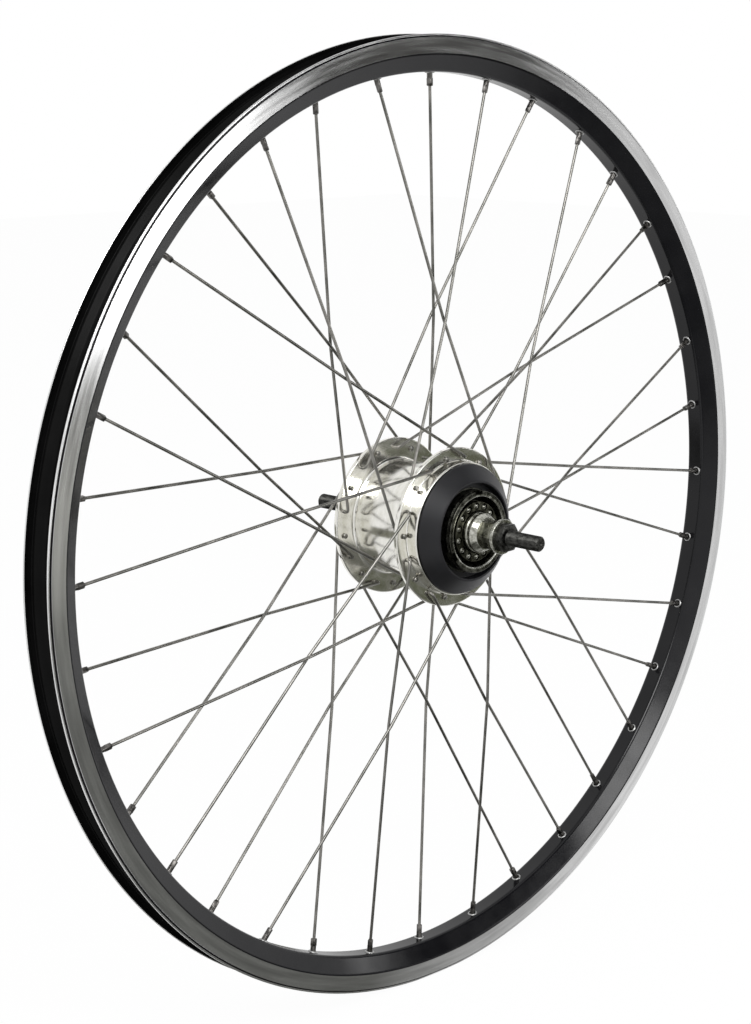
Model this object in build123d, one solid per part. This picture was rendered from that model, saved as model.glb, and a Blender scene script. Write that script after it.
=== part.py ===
from build123d import *
from math import cos, pi, radians, sin, tan
import os

# A rear bicycle wheel without its tyre: a double-wall rim for 622 mm tyres, thirty-six spokes laced
# three-cross, and a hub with planet gears inside, shown before its sprocket goes on.
# Millimetres. The origin is the wheel's centre, the axle lies along Y and the drive side faces -Y.
# Angles round the axle are degrees from +Z towards +X, clockwise as seen from the drive side.

# Rim section
BEAD_SEAT_DIA = 622.0
LIP_HEIGHT = 6.0
LIP_WIDTH = 1.7
RIM_DEPTH = 24.0
RIM_WIDTH = 25.4
TRACK_HEIGHT = 13.0
BED_WIDTH = 12.6
SHELF_WIDTH = 1.9
WELL_DEPTH = 4.5
WELL_WIDTH = 11.0
RIM_WALL = 1.5
NIPPLE_HOLE_GAP = 1.3
ACCESS_HOLE = 8.0
VALVE_HOLE_DIA = 8.5

# Lacing
SPOKES = 36
CROSSES = 3
FIRST_SPOKE = 1.0
RIM_STAGGER = 1.5
CROSS_GAP = 0.1

# Spokes and nipples. The round wire, its holes and the nipples have flats instead of a round wall.
FLATS = 6
WIRE_DIA = 2.0
FLANGE_HOLE_GAP = 0.7
ELBOW_LENGTH = 6.4
HEAD_HEIGHT = 1.4
HEAD_TAPER = 38.0
NIPPLE_WALL = 0.5
NIPPLE_THREAD_GAP = 0.5
NIPPLE_REACH = 9.0
NIPPLE_LIFT = 0.3
NIPPLE_HEAD = 2.4
NIPPLE_TAPER = 25.0
THREAD_LENGTH = 8.0

# Hub shell
FLANGE_EDGE = 6.3
HOLE_CLEARANCE = 2.5
FLANGE_WIDTH = 3.0
DRIVE_FLANGE_Y = -24.0
LEFT_FLANGE_Y = 31.5
FILLET = 2.5
BARREL_WALL = 2.5
BARREL_TAPER = 3.0
SHOULDER_END_Y = -34.0
NECK_END_Y = 40.0
CAVITY_GAP = 0.76
CUP_DEPTH = 6.5
CUP_WALL = 6.0
DRIVE_CUP_RACE = 5.4
LEFT_CUP_RACE = 8.3
PRESS_GAP = 0.02

# Axle and what is fixed on it
AXLE_DIA = 10.0
AXLE_SEAT_DIA = 10.6
AXLE_BODY_DIA = 12.0
AXLE_FLATS = 9.4
AXLE_DRIVE_FREE = 26.0
AXLE_LEFT_FREE = 24.5
AXLE_CHAMFER = 1.0
THREAD_GAP = 0.02
LOCKNUT_SPAN = 135.0
NUT_ACROSS = 17.0
NUT_CHAMFER = 1.2
DRIVE_NUT_LENGTH = 11.5
LEFT_NUT_LENGTH = 9.5
CONE_DIA = 26.4
CONE_NOSE_DIA = 20.0
CONE_RACE = 4.0
CONE_COLLAR_DIA = 21.0
LEFT_CONE_Y = 34.5
SPACER_DIA = 16.0
SPACER_LENGTH = 6.5
WASHER_DIA = 23.0
WASHER_WIDTH = 2.5
AXLE_NUT_LENGTH = 5.5
LEFT_CAP_DIA = 66.0
LEFT_CAP_WIDTH = 1.6

# Driver and its dust cap
SPROCKET_SEAT_DIA = 54.0
DRIVER_DIA = 56.0
DRIVER_END_Y = -48.0
DRIVER_BACK_Y = -27.0
DRIVER_BOSS_DIA = 48.0
DRIVER_BORE = 14.0
RECESS_DIA = 47.0
RECESS_FLOOR_DIA = 41.0
RECESS_DEPTH = 8.0
SPLINE_COUNT = 3
SPLINE_WIDTH = 7.0
SPLINE_DEPTH = 2.2
SPLINE_LENGTH = 5.6
CLIP_GROOVE_DEPTH = 0.9
CLIP_GROOVE_WIDTH = 1.3
CLIP_GROOVE_EDGE = 1.6
CAP_DIA = 86.0
CAP_EDGE = 1.0
CAP_LIP_Y = -44.5
CAP_LIP_DIA = 63.2
CAP_LIP_WIDTH = 1.4
CAP_FLOOR_Y = -38.5
CAP_WALL = 2.0
RUNNING_GAP = 0.6

# Bearings
DRIVER_BALL_WIDTH = 4.6
LEFT_BALL_WIDTH = 8.0
BALL_GAP = 0.2
BALL_RECESS = 1.2

# Planet gears
GEAR_MODULE = 1.6
SUN_TEETH = 12
PLANET_TEETH = 12
PLANETS = 3
TOOTH_SHARE = 0.40
FLANK_ANGLE = 20.0
ADDENDUM = 0.85
DEDENDUM = 1.15
CARRIER_Y = -21.0
CARRIER_EDGE = 5.3
CARRIER_WIDTH = 6.0
CARRIER_BORE_GAP = 3.0
END_PLATE_WIDTH = 4.0
PLANET_WIDTH = 29.0
SIDE_GAP = 0.3
SUN_WIDTH = 26.0
RING_WIDTH = 24.0
RING_WALL = 3.6
PIN_DIA = 6.0
PIN_GAP = 0.05

# Worked out from the sizes above
R_SEAT = BEAD_SEAT_DIA / 2
R_LIP = R_SEAT + LIP_HEIGHT
R_BED = R_LIP - RIM_DEPTH
R_TRACK = R_LIP - TRACK_HEIGHT
R_WELL = R_SEAT - WELL_DEPTH
RIM_STEP = 360 / SPOKES
FLANGE_STEP = 2 * RIM_STEP
GROUP = SPOKES // 4
LACE_TURN = CROSSES * FLANGE_STEP
WIRE_CORNERS = WIRE_DIA / cos(pi / FLATS)
WIRE_HOLE = WIRE_DIA + FLANGE_HOLE_GAP
NIPPLE_BORE = WIRE_DIA + NIPPLE_THREAD_GAP
NIPPLE_BODY = NIPPLE_BORE + 2 * NIPPLE_WALL
NIPPLE_HOLE = NIPPLE_BODY + NIPPLE_HOLE_GAP
VALVE_ANGLE = FIRST_SPOKE + RIM_STEP * (3 * SPOKES // 4 - 0.5)
AXLE_BORE = AXLE_SEAT_DIA / 2 + THREAD_GAP
DRIVE_NUT_END_Y = -LOCKNUT_SPAN / 2
DRIVE_NUT_Y = DRIVE_NUT_END_Y + DRIVE_NUT_LENGTH
LEFT_NUT_END_Y = LOCKNUT_SPAN / 2
LEFT_NUT_Y = LEFT_NUT_END_Y - LEFT_NUT_LENGTH
LEFT_CONE_END_Y = LEFT_NUT_Y - SPACER_LENGTH
DRIVE_WASHER_END_Y = DRIVE_NUT_END_Y - WASHER_WIDTH
DRIVE_FREE_Y = DRIVE_WASHER_END_Y - AXLE_NUT_LENGTH
LEFT_WASHER_END_Y = LEFT_NUT_END_Y + WASHER_WIDTH
LEFT_FREE_Y = LEFT_WASHER_END_Y + AXLE_NUT_LENGTH
AXLE_DRIVE_END_Y = DRIVE_FREE_Y - AXLE_DRIVE_FREE
AXLE_LEFT_END_Y = LEFT_FREE_Y + AXLE_LEFT_FREE
RECESS_FLOOR_Y = DRIVER_END_Y + RECESS_DEPTH
DRIVE_CONE_Y = RECESS_FLOOR_Y - SIDE_GAP
DRIVE_CUP_INNER = DRIVER_DIA / 2 + DRIVER_BALL_WIDTH
DRIVE_CUP_OUTER = DRIVE_CUP_INNER + DRIVE_CUP_RACE
LEFT_CUP_INNER = CONE_DIA / 2 + LEFT_BALL_WIDTH
LEFT_CUP_OUTER = LEFT_CUP_INNER + LEFT_CUP_RACE
RING_TEETH = SUN_TEETH + 2 * PLANET_TEETH
RING_OUTER = GEAR_MODULE * (RING_TEETH / 2 + DEDENDUM) + RING_WALL
PLANET_RADIUS = GEAR_MODULE * (SUN_TEETH + PLANET_TEETH) / 2
CARRIER_OUTER = PLANET_RADIUS + PIN_DIA / 2 + CARRIER_EDGE
R_SHOULDER = DRIVE_CUP_OUTER + CUP_WALL
R_NECK = LEFT_CUP_OUTER + CUP_WALL
R_HOLES = R_SHOULDER + HOLE_CLEARANCE
R_FLANGE = R_HOLES + FLANGE_EDGE
R_CAVITY = RING_OUTER + CAVITY_GAP
R_BARREL_LEFT = R_CAVITY + BARREL_WALL
R_BARREL_DRIVE = R_BARREL_LEFT + BARREL_TAPER
GEAR_START_Y = CARRIER_Y + CARRIER_WIDTH + SIDE_GAP
GEAR_MID_Y = GEAR_START_Y + PLANET_WIDTH / 2
END_PLATE_Y = GEAR_START_Y + PLANET_WIDTH + SIDE_GAP


def around(radius, angle, y):
    """A point at this radius and angle round the axle."""
    return Vector(radius * sin(radians(angle)), y, radius * cos(radians(angle)))


def turned(profile):
    """A solid turned about the axle from (radius, y) points."""
    return revolve(make_face(Polyline(*profile, close=True)), Axis.Y)


def ring(inner, outer, y_low, y_high):
    """A plain ring about the axle, by its radii."""
    return turned([(inner, y_low), (outer, y_low), (outer, y_high), (inner, y_high)])


def across(sketch, y_low, y_high):
    """A sketch drawn on X and Z, made solid from y_low to y_high."""
    plane = Plane((0, y_high, 0), x_dir=(1, 0, 0), z_dir=(0, -1, 0))
    return extrude(plane * sketch, amount=y_high - y_low)


def flats(width):
    """The many-sided section that stands for a round wire or hole, by its width across flats."""
    return RegularPolygon(width / 2, FLATS, major_radius=False)


def bar(start, end, width):
    """A straight bar of that section from one point to another."""
    run = end - start
    return extrude(Plane(start, z_dir=run) * flats(width), amount=run.length)


def flare(start, direction, width, height, taper):
    """A head that widens from the bar's section."""
    return extrude(Plane(start, z_dir=direction) * flats(width), amount=height, taper=-taper)


def window(radius, angle, y, width):
    """A four-sided hole through a wall of the rim, its sides along and square to the axle."""
    plane = Plane(around(radius, angle, y), x_dir=(0, 1, 0), z_dir=around(1, angle, 0))
    return extrude(plane * Rectangle(width, width), amount=RIM_WALL, both=True)


def repeated(solid, count, step):
    """Copies of a solid, set round the axle."""
    return [solid.rotate(Axis.Y, index * step) for index in range(count)]


def rim():
    half = [
        (R_BED, BED_WIDTH / 2),
        (R_TRACK, RIM_WIDTH / 2),
        (R_LIP, RIM_WIDTH / 2),
        (R_LIP, RIM_WIDTH / 2 - LIP_WIDTH),
        (R_SEAT, RIM_WIDTH / 2 - LIP_WIDTH),
        (R_SEAT, RIM_WIDTH / 2 - LIP_WIDTH - SHELF_WIDTH),
        (R_WELL, WELL_WIDTH / 2),
    ]
    box = [half[0], half[1], (R_WELL, RIM_WIDTH / 2)]
    chamber = make_face(Polyline(*mirrored(box), close=True))
    chamber = offset(chamber, -RIM_WALL, kind=Kind.INTERSECTION)
    section = make_face(Polyline(*mirrored(half), close=True)) - chamber
    body = revolve(section, Axis.Y)
    holes = []
    for lacing in LACINGS:
        angle = lacing["rim_angle"]
        drilled = window(R_BED + RIM_WALL / 2, angle, lacing["seat"].Y, NIPPLE_HOLE)
        access = window(R_WELL - RIM_WALL / 2, angle, 0, ACCESS_HOLE)
        holes += repeated(drilled, GROUP, 360 / GROUP)
        holes += repeated(access, GROUP, 360 / GROUP)
    valve = Plane(around(R_BED - RIM_WALL, VALVE_ANGLE, 0), z_dir=around(1, VALVE_ANGLE, 0))
    holes.append(extrude(valve * Circle(VALVE_HOLE_DIA / 2), amount=RIM_DEPTH))
    return body - holes


def mirrored(half):
    """A section's points on both sides of the rim's middle plane."""
    return half + [(radius, -y) for radius, y in reversed(half)]


def lace(flange_y, outward, first, sense, elbow_outside):
    """Where one group of spokes runs: hub hole, elbow, last crossing, and the nipple's seat and axis."""
    rim_angle = FIRST_SPOKE + first * RIM_STEP
    hole_angle = rim_angle + sense * LACE_TURN
    bend = outward if elbow_outside else -outward
    seat_y = flange_y - bend * FLANGE_WIDTH / 2
    elbow = around(R_HOLES, hole_angle, seat_y + bend * ELBOW_LENGTH)
    seat = around(R_BED, rim_angle, outward * RIM_STAGGER)
    # The last of the crossings lies on the radius that both spokes reach after the same turn.
    meeting = around(1, hole_angle - sense * (LACE_TURN - RIM_STEP), 0)
    run = seat - elbow
    share = -elbow.cross(meeting).Y / run.cross(meeting).Y
    middle = flange_y * (1 - share) + seat.Y * share
    swap = -outward if elbow_outside else outward
    crossing = elbow + run * share
    crossing = Vector(crossing.X, middle + swap * (WIRE_CORNERS + CROSS_GAP) / 2, crossing.Z)
    axis = (seat - crossing).normalized()
    return {
        "rim_angle": rim_angle,
        "bend": bend,
        "head": Vector(elbow.X, seat_y, elbow.Z),
        "elbow": elbow,
        "crossing": crossing,
        "seat": seat,
        "axis": axis,
        "foot": seat - axis * NIPPLE_REACH,
    }


def spoke(lacing):
    end = lacing["foot"] + lacing["axis"] * THREAD_LENGTH
    path = Polyline(lacing["head"], lacing["elbow"], lacing["crossing"], end)
    start = Plane(lacing["head"], z_dir=lacing["elbow"] - lacing["head"])
    wire = sweep(start * flats(WIRE_DIA), path=path, transition=Transition.RIGHT)
    head = flare(lacing["head"], Vector(0, -lacing["bend"], 0), WIRE_DIA, HEAD_HEIGHT, HEAD_TAPER)
    return wire + head


def nipple(lacing):
    axis = lacing["axis"]
    neck = lacing["seat"] + axis * (RIM_WALL + NIPPLE_LIFT)
    body = bar(lacing["foot"], neck, NIPPLE_BODY)
    head = flare(neck, axis, NIPPLE_BODY, NIPPLE_HEAD, NIPPLE_TAPER)
    bore = bar(lacing["foot"], lacing["foot"] + axis * (THREAD_LENGTH + CROSS_GAP), NIPPLE_BORE)
    return body + head - bore


def hub_shell():
    half = FLANGE_WIDTH / 2
    body = turned([
        (LEFT_CUP_OUTER, NECK_END_Y),
        (R_NECK, NECK_END_Y),
        (R_NECK, LEFT_FLANGE_Y + half),
        (R_FLANGE, LEFT_FLANGE_Y + half),
        (R_FLANGE, LEFT_FLANGE_Y - half),
        (R_BARREL_LEFT + FILLET, LEFT_FLANGE_Y - half),
        (R_BARREL_LEFT, LEFT_FLANGE_Y - half - FILLET),
        (R_BARREL_DRIVE, DRIVE_FLANGE_Y + half + FILLET),
        (R_BARREL_DRIVE + FILLET, DRIVE_FLANGE_Y + half),
        (R_FLANGE, DRIVE_FLANGE_Y + half),
        (R_FLANGE, DRIVE_FLANGE_Y - half),
        (R_SHOULDER, DRIVE_FLANGE_Y - half),
        (R_SHOULDER, SHOULDER_END_Y),
        (DRIVE_CUP_OUTER, SHOULDER_END_Y),
        (DRIVE_CUP_OUTER, SHOULDER_END_Y + CUP_DEPTH),
        (R_CAVITY, SHOULDER_END_Y + CUP_DEPTH),
        (R_CAVITY, NECK_END_Y - CUP_DEPTH),
        (LEFT_CUP_OUTER, NECK_END_Y - CUP_DEPTH),
    ])
    holes = []
    for lacing in LACINGS:
        through = Vector(0, lacing["bend"] * 2 * FLANGE_WIDTH, 0)
        hole = bar(lacing["head"] - through, lacing["head"] + through, WIRE_HOLE)
        holes += repeated(hole, GROUP, 360 / GROUP)
    return body - holes


def drive_ball_cup():
    outer = DRIVE_CUP_OUTER - PRESS_GAP
    return ring(DRIVE_CUP_INNER, outer, SHOULDER_END_Y, SHOULDER_END_Y + CUP_DEPTH)


def left_ball_cup():
    outer = LEFT_CUP_OUTER - PRESS_GAP
    return ring(LEFT_CUP_INNER, outer, NECK_END_Y - CUP_DEPTH, NECK_END_Y)


def axle():
    free = AXLE_DIA / 2
    seat = AXLE_SEAT_DIA / 2
    body = turned([
        (0, AXLE_DRIVE_END_Y),
        (free - AXLE_CHAMFER, AXLE_DRIVE_END_Y),
        (free, AXLE_DRIVE_END_Y + AXLE_CHAMFER),
        (free, DRIVE_FREE_Y),
        (seat, DRIVE_FREE_Y),
        (seat, DRIVE_CONE_Y),
        (AXLE_BODY_DIA / 2, DRIVE_CONE_Y),
        (AXLE_BODY_DIA / 2, LEFT_CONE_Y),
        (seat, LEFT_CONE_Y),
        (seat, LEFT_FREE_Y),
        (free, LEFT_FREE_Y),
        (free, AXLE_LEFT_END_Y - AXLE_CHAMFER),
        (free - AXLE_CHAMFER, AXLE_LEFT_END_Y),
        (0, AXLE_LEFT_END_Y),
    ])
    ends = [(AXLE_DRIVE_END_Y, DRIVE_FREE_Y), (LEFT_FREE_Y, AXLE_LEFT_END_Y)]
    for side in (-1, 1):
        waste = Pos(side * (AXLE_FLATS + AXLE_DIA) / 2, 0) * Rectangle(AXLE_DIA, AXLE_DIA)
        body -= [across(waste, low, high) for low, high in ends]
    return body


def drive_cone():
    return turned([
        (AXLE_BORE, DRIVE_CONE_Y),
        (CONE_NOSE_DIA / 2, DRIVE_CONE_Y),
        (CONE_DIA / 2, DRIVE_CONE_Y - CONE_RACE),
        (CONE_DIA / 2, DRIVER_END_Y - CONE_RACE),
        (CONE_COLLAR_DIA / 2, DRIVE_NUT_Y),
        (AXLE_BORE, DRIVE_NUT_Y),
    ])


def left_cone():
    return turned([
        (AXLE_BORE, LEFT_CONE_Y),
        (CONE_NOSE_DIA / 2, LEFT_CONE_Y),
        (CONE_DIA / 2, LEFT_CONE_Y + CONE_RACE),
        (CONE_DIA / 2, LEFT_CONE_END_Y),
        (AXLE_BORE, LEFT_CONE_END_Y),
    ])


def axle_nut(y_low, y_high, outer_y):
    """A hexagon nut with the corners of its outer face turned off."""
    hexagon = RegularPolygon(NUT_ACROSS / 2, 6, major_radius=False) - Circle(AXLE_BORE)
    corner = NUT_ACROSS / 2 / cos(pi / 6)
    sign = 1 if outer_y == y_high else -1
    inner_y = y_low if sign > 0 else y_high
    envelope = turned([
        (0, inner_y),
        (corner + NUT_CHAMFER, inner_y),
        (corner + NUT_CHAMFER, outer_y - sign * NUT_CHAMFER),
        (NUT_ACROSS / 2 - NUT_CHAMFER / 2, outer_y),
        (0, outer_y),
    ])
    return across(hexagon, y_low, y_high) & envelope


def left_dust_cap():
    bore = CONE_DIA / 2 + PRESS_GAP
    return ring(bore, LEFT_CAP_DIA / 2, NECK_END_Y + RUNNING_GAP, NECK_END_Y + RUNNING_GAP + LEFT_CAP_WIDTH)


def driver():
    seat = SPROCKET_SEAT_DIA / 2
    groove_y = DRIVER_END_Y + CLIP_GROOVE_EDGE
    body = turned([
        (DRIVER_BORE / 2, CARRIER_Y),
        (DRIVER_BOSS_DIA / 2, CARRIER_Y),
        (DRIVER_BOSS_DIA / 2, DRIVER_BACK_Y),
        (DRIVER_DIA / 2, DRIVER_BACK_Y),
        (DRIVER_DIA / 2, CAP_FLOOR_Y),
        (seat, CAP_FLOOR_Y),
        (seat, groove_y + CLIP_GROOVE_WIDTH),
        (seat - CLIP_GROOVE_DEPTH, groove_y + CLIP_GROOVE_WIDTH),
        (seat - CLIP_GROOVE_DEPTH, groove_y),
        (seat, groove_y),
        (seat, DRIVER_END_Y),
        (RECESS_DIA / 2, DRIVER_END_Y),
        (RECESS_FLOOR_DIA / 2, RECESS_FLOOR_Y),
        (DRIVER_BORE / 2, RECESS_FLOOR_Y),
    ])
    slot = Pos(0, seat) * Rectangle(SPLINE_WIDTH, 2 * SPLINE_DEPTH)
    slot = across(slot, DRIVER_END_Y, DRIVER_END_Y + SPLINE_LENGTH)
    return body - repeated(slot, SPLINE_COUNT, 360 / SPLINE_COUNT)


def drive_dust_cap():
    back_y = SHOULDER_END_Y - RUNNING_GAP
    bore = DRIVER_DIA / 2 + PRESS_GAP
    lip_outer = CAP_LIP_DIA / 2 + CAP_LIP_WIDTH
    return turned([
        (bore, back_y),
        (CAP_LIP_DIA / 2, back_y),
        (lip_outer, CAP_LIP_Y + 2 * CAP_WALL),
        (CAP_DIA / 2 - CAP_WALL, back_y),
        (CAP_DIA / 2, back_y),
        (CAP_DIA / 2, back_y - CAP_EDGE),
        (lip_outer, CAP_LIP_Y),
        (CAP_LIP_DIA / 2, CAP_LIP_Y),
        (CAP_LIP_DIA / 2, CAP_FLOOR_Y),
        (bore, CAP_FLOOR_Y),
    ])


def toothed(teeth, inward, phase):
    """The outline of a gear with straight flanks. An inward gear's teeth point at its own centre."""
    sign = -1 if inward else 1
    pitch_radius = GEAR_MODULE * teeth / 2
    tip = pitch_radius + sign * ADDENDUM * GEAR_MODULE
    root = pitch_radius - sign * DEDENDUM * GEAR_MODULE
    width = TOOTH_SHARE * pi * GEAR_MODULE
    slope = 2 * GEAR_MODULE * tan(radians(FLANK_ANGLE))
    corners = [
        (root, -(width + DEDENDUM * slope) / 2),
        (tip, -(width - ADDENDUM * slope) / 2),
        (tip, (width - ADDENDUM * slope) / 2),
        (root, (width + DEDENDUM * slope) / 2),
    ]
    points = []
    for index in range(teeth):
        middle = radians(phase + 360 * index / teeth)
        points += [(r * sin(middle + w / r), r * cos(middle + w / r)) for r, w in corners]
    return make_face(Polyline(*points, close=True))


def planet_angle(index):
    """The place nearest to even spacing where a planet meshes with the sun and the ring at once."""
    places = SUN_TEETH + RING_TEETH
    return round(index * places / PLANETS) * 360 / places


def pin_places():
    return [around(PLANET_RADIUS, planet_angle(index), 0) for index in range(PLANETS)]


def sun_gear():
    outline = toothed(SUN_TEETH, False, 0) - Circle(AXLE_BODY_DIA / 2 + PRESS_GAP)
    return across(outline, GEAR_MID_Y - SUN_WIDTH / 2, GEAR_MID_Y + SUN_WIDTH / 2)


def ring_gear():
    phase = 0 if PLANET_TEETH % 2 == 0 else 180 / RING_TEETH
    outline = Circle(RING_OUTER) - toothed(RING_TEETH, True, phase)
    return across(outline, GEAR_MID_Y - RING_WIDTH / 2, GEAR_MID_Y + RING_WIDTH / 2)


def planet_gear(index):
    angle = planet_angle(index)
    place = around(PLANET_RADIUS, angle, 0)
    phase = 180 + 180 / PLANET_TEETH + angle * (1 + SUN_TEETH / PLANET_TEETH)
    outline = toothed(PLANET_TEETH, False, phase) - Circle(PIN_DIA / 2 + PIN_GAP)
    return Pos(place) * across(outline, GEAR_START_Y, GEAR_START_Y + PLANET_WIDTH)


def carrier_plate(y_low, y_high):
    outline = Circle(CARRIER_OUTER) - Circle(AXLE_BODY_DIA / 2 + CARRIER_BORE_GAP)
    for place in pin_places():
        outline -= Pos(place.X, place.Z) * Circle(PIN_DIA / 2 + PRESS_GAP)
    return across(outline, y_low, y_high)


def planet_pins():
    pin = across(Circle(PIN_DIA / 2), CARRIER_Y, END_PLATE_Y + END_PLATE_WIDTH)
    return [Pos(place) * pin for place in pin_places()]


DRIVE_OUTER = lace(DRIVE_FLANGE_Y, -1, 3, 1, True)
DRIVE_INNER = lace(DRIVE_FLANGE_Y, -1, 1, -1, False)
LEFT_OUTER = lace(LEFT_FLANGE_Y, 1, 0, 1, True)
LEFT_INNER = lace(LEFT_FLANGE_Y, 1, 2, -1, False)
LACINGS = [DRIVE_OUTER, DRIVE_INNER, LEFT_OUTER, LEFT_INNER]


def spoke_group(lacing):
    return repeated(spoke(lacing), GROUP, 360 / GROUP)


def all_nipples():
    groups = [repeated(nipple(lacing), GROUP, 360 / GROUP) for lacing in LACINGS]
    return [solid for group in groups for solid in group]


DRIVER_BALLS = (DRIVER_DIA / 2 + BALL_GAP, DRIVE_CUP_INNER - BALL_GAP)
CONE_BALLS = (CONE_DIA / 2 + BALL_GAP, RECESS_FLOOR_DIA / 2 - BALL_GAP)
LEFT_BALLS = (CONE_DIA / 2 + BALL_GAP, LEFT_CUP_INNER - BALL_GAP)

nodes = {
    "rim": rim(),
    "spokes_drive_outer": spoke_group(DRIVE_OUTER),
    "spokes_drive_inner": spoke_group(DRIVE_INNER),
    "spokes_left_outer": spoke_group(LEFT_OUTER),
    "spokes_left_inner": spoke_group(LEFT_INNER),
    "nipples": all_nipples(),
    "hub_shell": hub_shell(),
    "drive_ball_cup": drive_ball_cup(),
    "left_ball_cup": left_ball_cup(),
    "driver_ball_ring": ring(*DRIVER_BALLS, SHOULDER_END_Y + BALL_GAP, SHOULDER_END_Y + CUP_DEPTH),
    "cone_ball_ring": ring(*CONE_BALLS, DRIVER_END_Y + BALL_RECESS, RECESS_FLOOR_Y - BALL_GAP),
    "left_ball_ring": ring(*LEFT_BALLS, NECK_END_Y - CUP_DEPTH, NECK_END_Y - BALL_GAP),
    "axle": axle(),
    "drive_cone": drive_cone(),
    "left_cone": left_cone(),
    "drive_lock_nut": axle_nut(DRIVE_NUT_END_Y, DRIVE_NUT_Y, DRIVE_NUT_END_Y),
    "left_lock_nut": axle_nut(LEFT_NUT_Y, LEFT_NUT_END_Y, LEFT_NUT_END_Y),
    "drive_washer": ring(AXLE_BORE, WASHER_DIA / 2, DRIVE_WASHER_END_Y, DRIVE_NUT_END_Y),
    "left_washer": ring(AXLE_BORE, WASHER_DIA / 2, LEFT_NUT_END_Y, LEFT_WASHER_END_Y),
    "drive_axle_nut": axle_nut(DRIVE_FREE_Y, DRIVE_WASHER_END_Y, DRIVE_FREE_Y),
    "left_axle_nut": axle_nut(LEFT_WASHER_END_Y, LEFT_FREE_Y, LEFT_FREE_Y),
    "left_spacer": ring(AXLE_BORE, SPACER_DIA / 2, LEFT_CONE_END_Y, LEFT_NUT_Y),
    "left_dust_cap": left_dust_cap(),
    "driver": driver(),
    "drive_dust_cap": drive_dust_cap(),
    "planet_carrier": carrier_plate(CARRIER_Y, CARRIER_Y + CARRIER_WIDTH),
    "carrier_end_plate": carrier_plate(END_PLATE_Y, END_PLATE_Y + END_PLATE_WIDTH),
    "planet_pins": planet_pins(),
    "sun_gear": sun_gear(),
    "ring_gear": ring_gear(),
}
for index in range(PLANETS):
    nodes[f"planet_gear_{index + 1}"] = planet_gear(index)

os.makedirs("parts", exist_ok=True)
for name, shape in nodes.items():
    solids = shape if isinstance(shape, list) else [shape]
    export_step(Compound(children=solids) if len(solids) > 1 else solids[0], f"parts/{name}.step")
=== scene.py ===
from math import atan2, cos, hypot, pi, radians, sin, tan

import bmesh
import bpy
from mathutils import Matrix, Vector


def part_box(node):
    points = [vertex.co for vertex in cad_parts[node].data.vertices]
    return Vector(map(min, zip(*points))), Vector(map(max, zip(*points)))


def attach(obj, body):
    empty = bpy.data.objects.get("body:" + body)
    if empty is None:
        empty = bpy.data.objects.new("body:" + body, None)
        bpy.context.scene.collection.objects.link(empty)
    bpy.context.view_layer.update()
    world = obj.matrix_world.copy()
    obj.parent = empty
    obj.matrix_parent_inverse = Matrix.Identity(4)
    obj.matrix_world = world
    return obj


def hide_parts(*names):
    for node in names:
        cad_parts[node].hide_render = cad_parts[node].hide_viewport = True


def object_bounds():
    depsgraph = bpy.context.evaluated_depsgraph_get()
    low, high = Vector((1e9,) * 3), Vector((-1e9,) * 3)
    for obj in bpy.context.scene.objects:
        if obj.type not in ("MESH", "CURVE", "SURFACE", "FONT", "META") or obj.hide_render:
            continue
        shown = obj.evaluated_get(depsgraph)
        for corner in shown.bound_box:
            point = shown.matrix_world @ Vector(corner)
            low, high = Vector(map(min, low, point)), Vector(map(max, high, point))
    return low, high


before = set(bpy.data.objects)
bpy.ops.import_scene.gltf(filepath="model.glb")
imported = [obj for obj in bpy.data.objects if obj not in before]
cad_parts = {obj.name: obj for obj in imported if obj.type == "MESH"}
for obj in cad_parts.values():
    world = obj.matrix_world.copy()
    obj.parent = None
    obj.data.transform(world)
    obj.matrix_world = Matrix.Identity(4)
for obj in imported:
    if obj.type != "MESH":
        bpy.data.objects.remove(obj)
cad_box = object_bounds()

# Sizes are written in millimetres and turned into metres by MM.
MM = 0.001

# Rim section, as radii from the axle and widths from the middle plane
R_LIP = -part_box("rim")[0].x / MM
RIM_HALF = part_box("rim")[1].y / MM
R_SEAT = 311.0
R_WELL = 306.5
R_TRACK = 304.0
R_BED = 293.0
BED_HALF = 6.3
LIP_WIDTH = 1.7
SHELF_WIDTH = 1.9
WELL_HALF = 5.5
RIM_WALL = 1.5
LIP_HEIGHT = 2.15
BRIGHT_LIP = 1.15
SET_BACK = 1.0
HOOK = 0.35
HOOK_HEIGHT = 1.6
HOOK_END = 2.8
LIP_HOLLOW = 0.2
TRACK_EDGE = 0.7
NIPPLE_HOLE_R = 2.3
ACCESS_HOLE_R = 4.0
VALVE_HOLE_R = 4.25
VALVE_ANGLE = 266.0

# Margins that tell the rim's finishes apart
TRACK_MARGIN = 0.1
LIP_TOP = 0.7
LIP_MARGIN = 0.3
WELL_MARGIN = 0.8

# Lacing
SPOKES = 36
GROUP = SPOKES // 4
RIM_STEP = 360 / SPOKES
FIRST_SPOKE = 1.0
LACE_TURN = 60.0
RIM_STAGGER = 1.5
R_HOLES = 46.5
CROSS_SPREAD = 2.41

# Spokes
WIRE_R = 1.0
WIRE_SIDES = 14
ELBOW_LENGTH = 6.4
ELBOW_R = 2.6
ELBOW_STEPS = 8
THREAD_LENGTH = 8.0
# Radius and height of each ring of a spoke's head
HEAD_RINGS = ((1.75, 0.9), (1.8, 1.2), (1.55, 1.5), (0.9, 1.72))

# Nipples
NIPPLE_REACH = 9.0
NIPPLE_SQUARE = 3.2
NIPPLE_SQUARE_LENGTH = 5.2
NIPPLE_EDGE = 0.5
NIPPLE_OVERLAP = 0.6
NIPPLE_BODY_R = 1.85
NIPPLE_HEAD_R = 2.9
NIPPLE_HEAD_GAP = 0.3
NIPPLE_SIDES = 16
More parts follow.
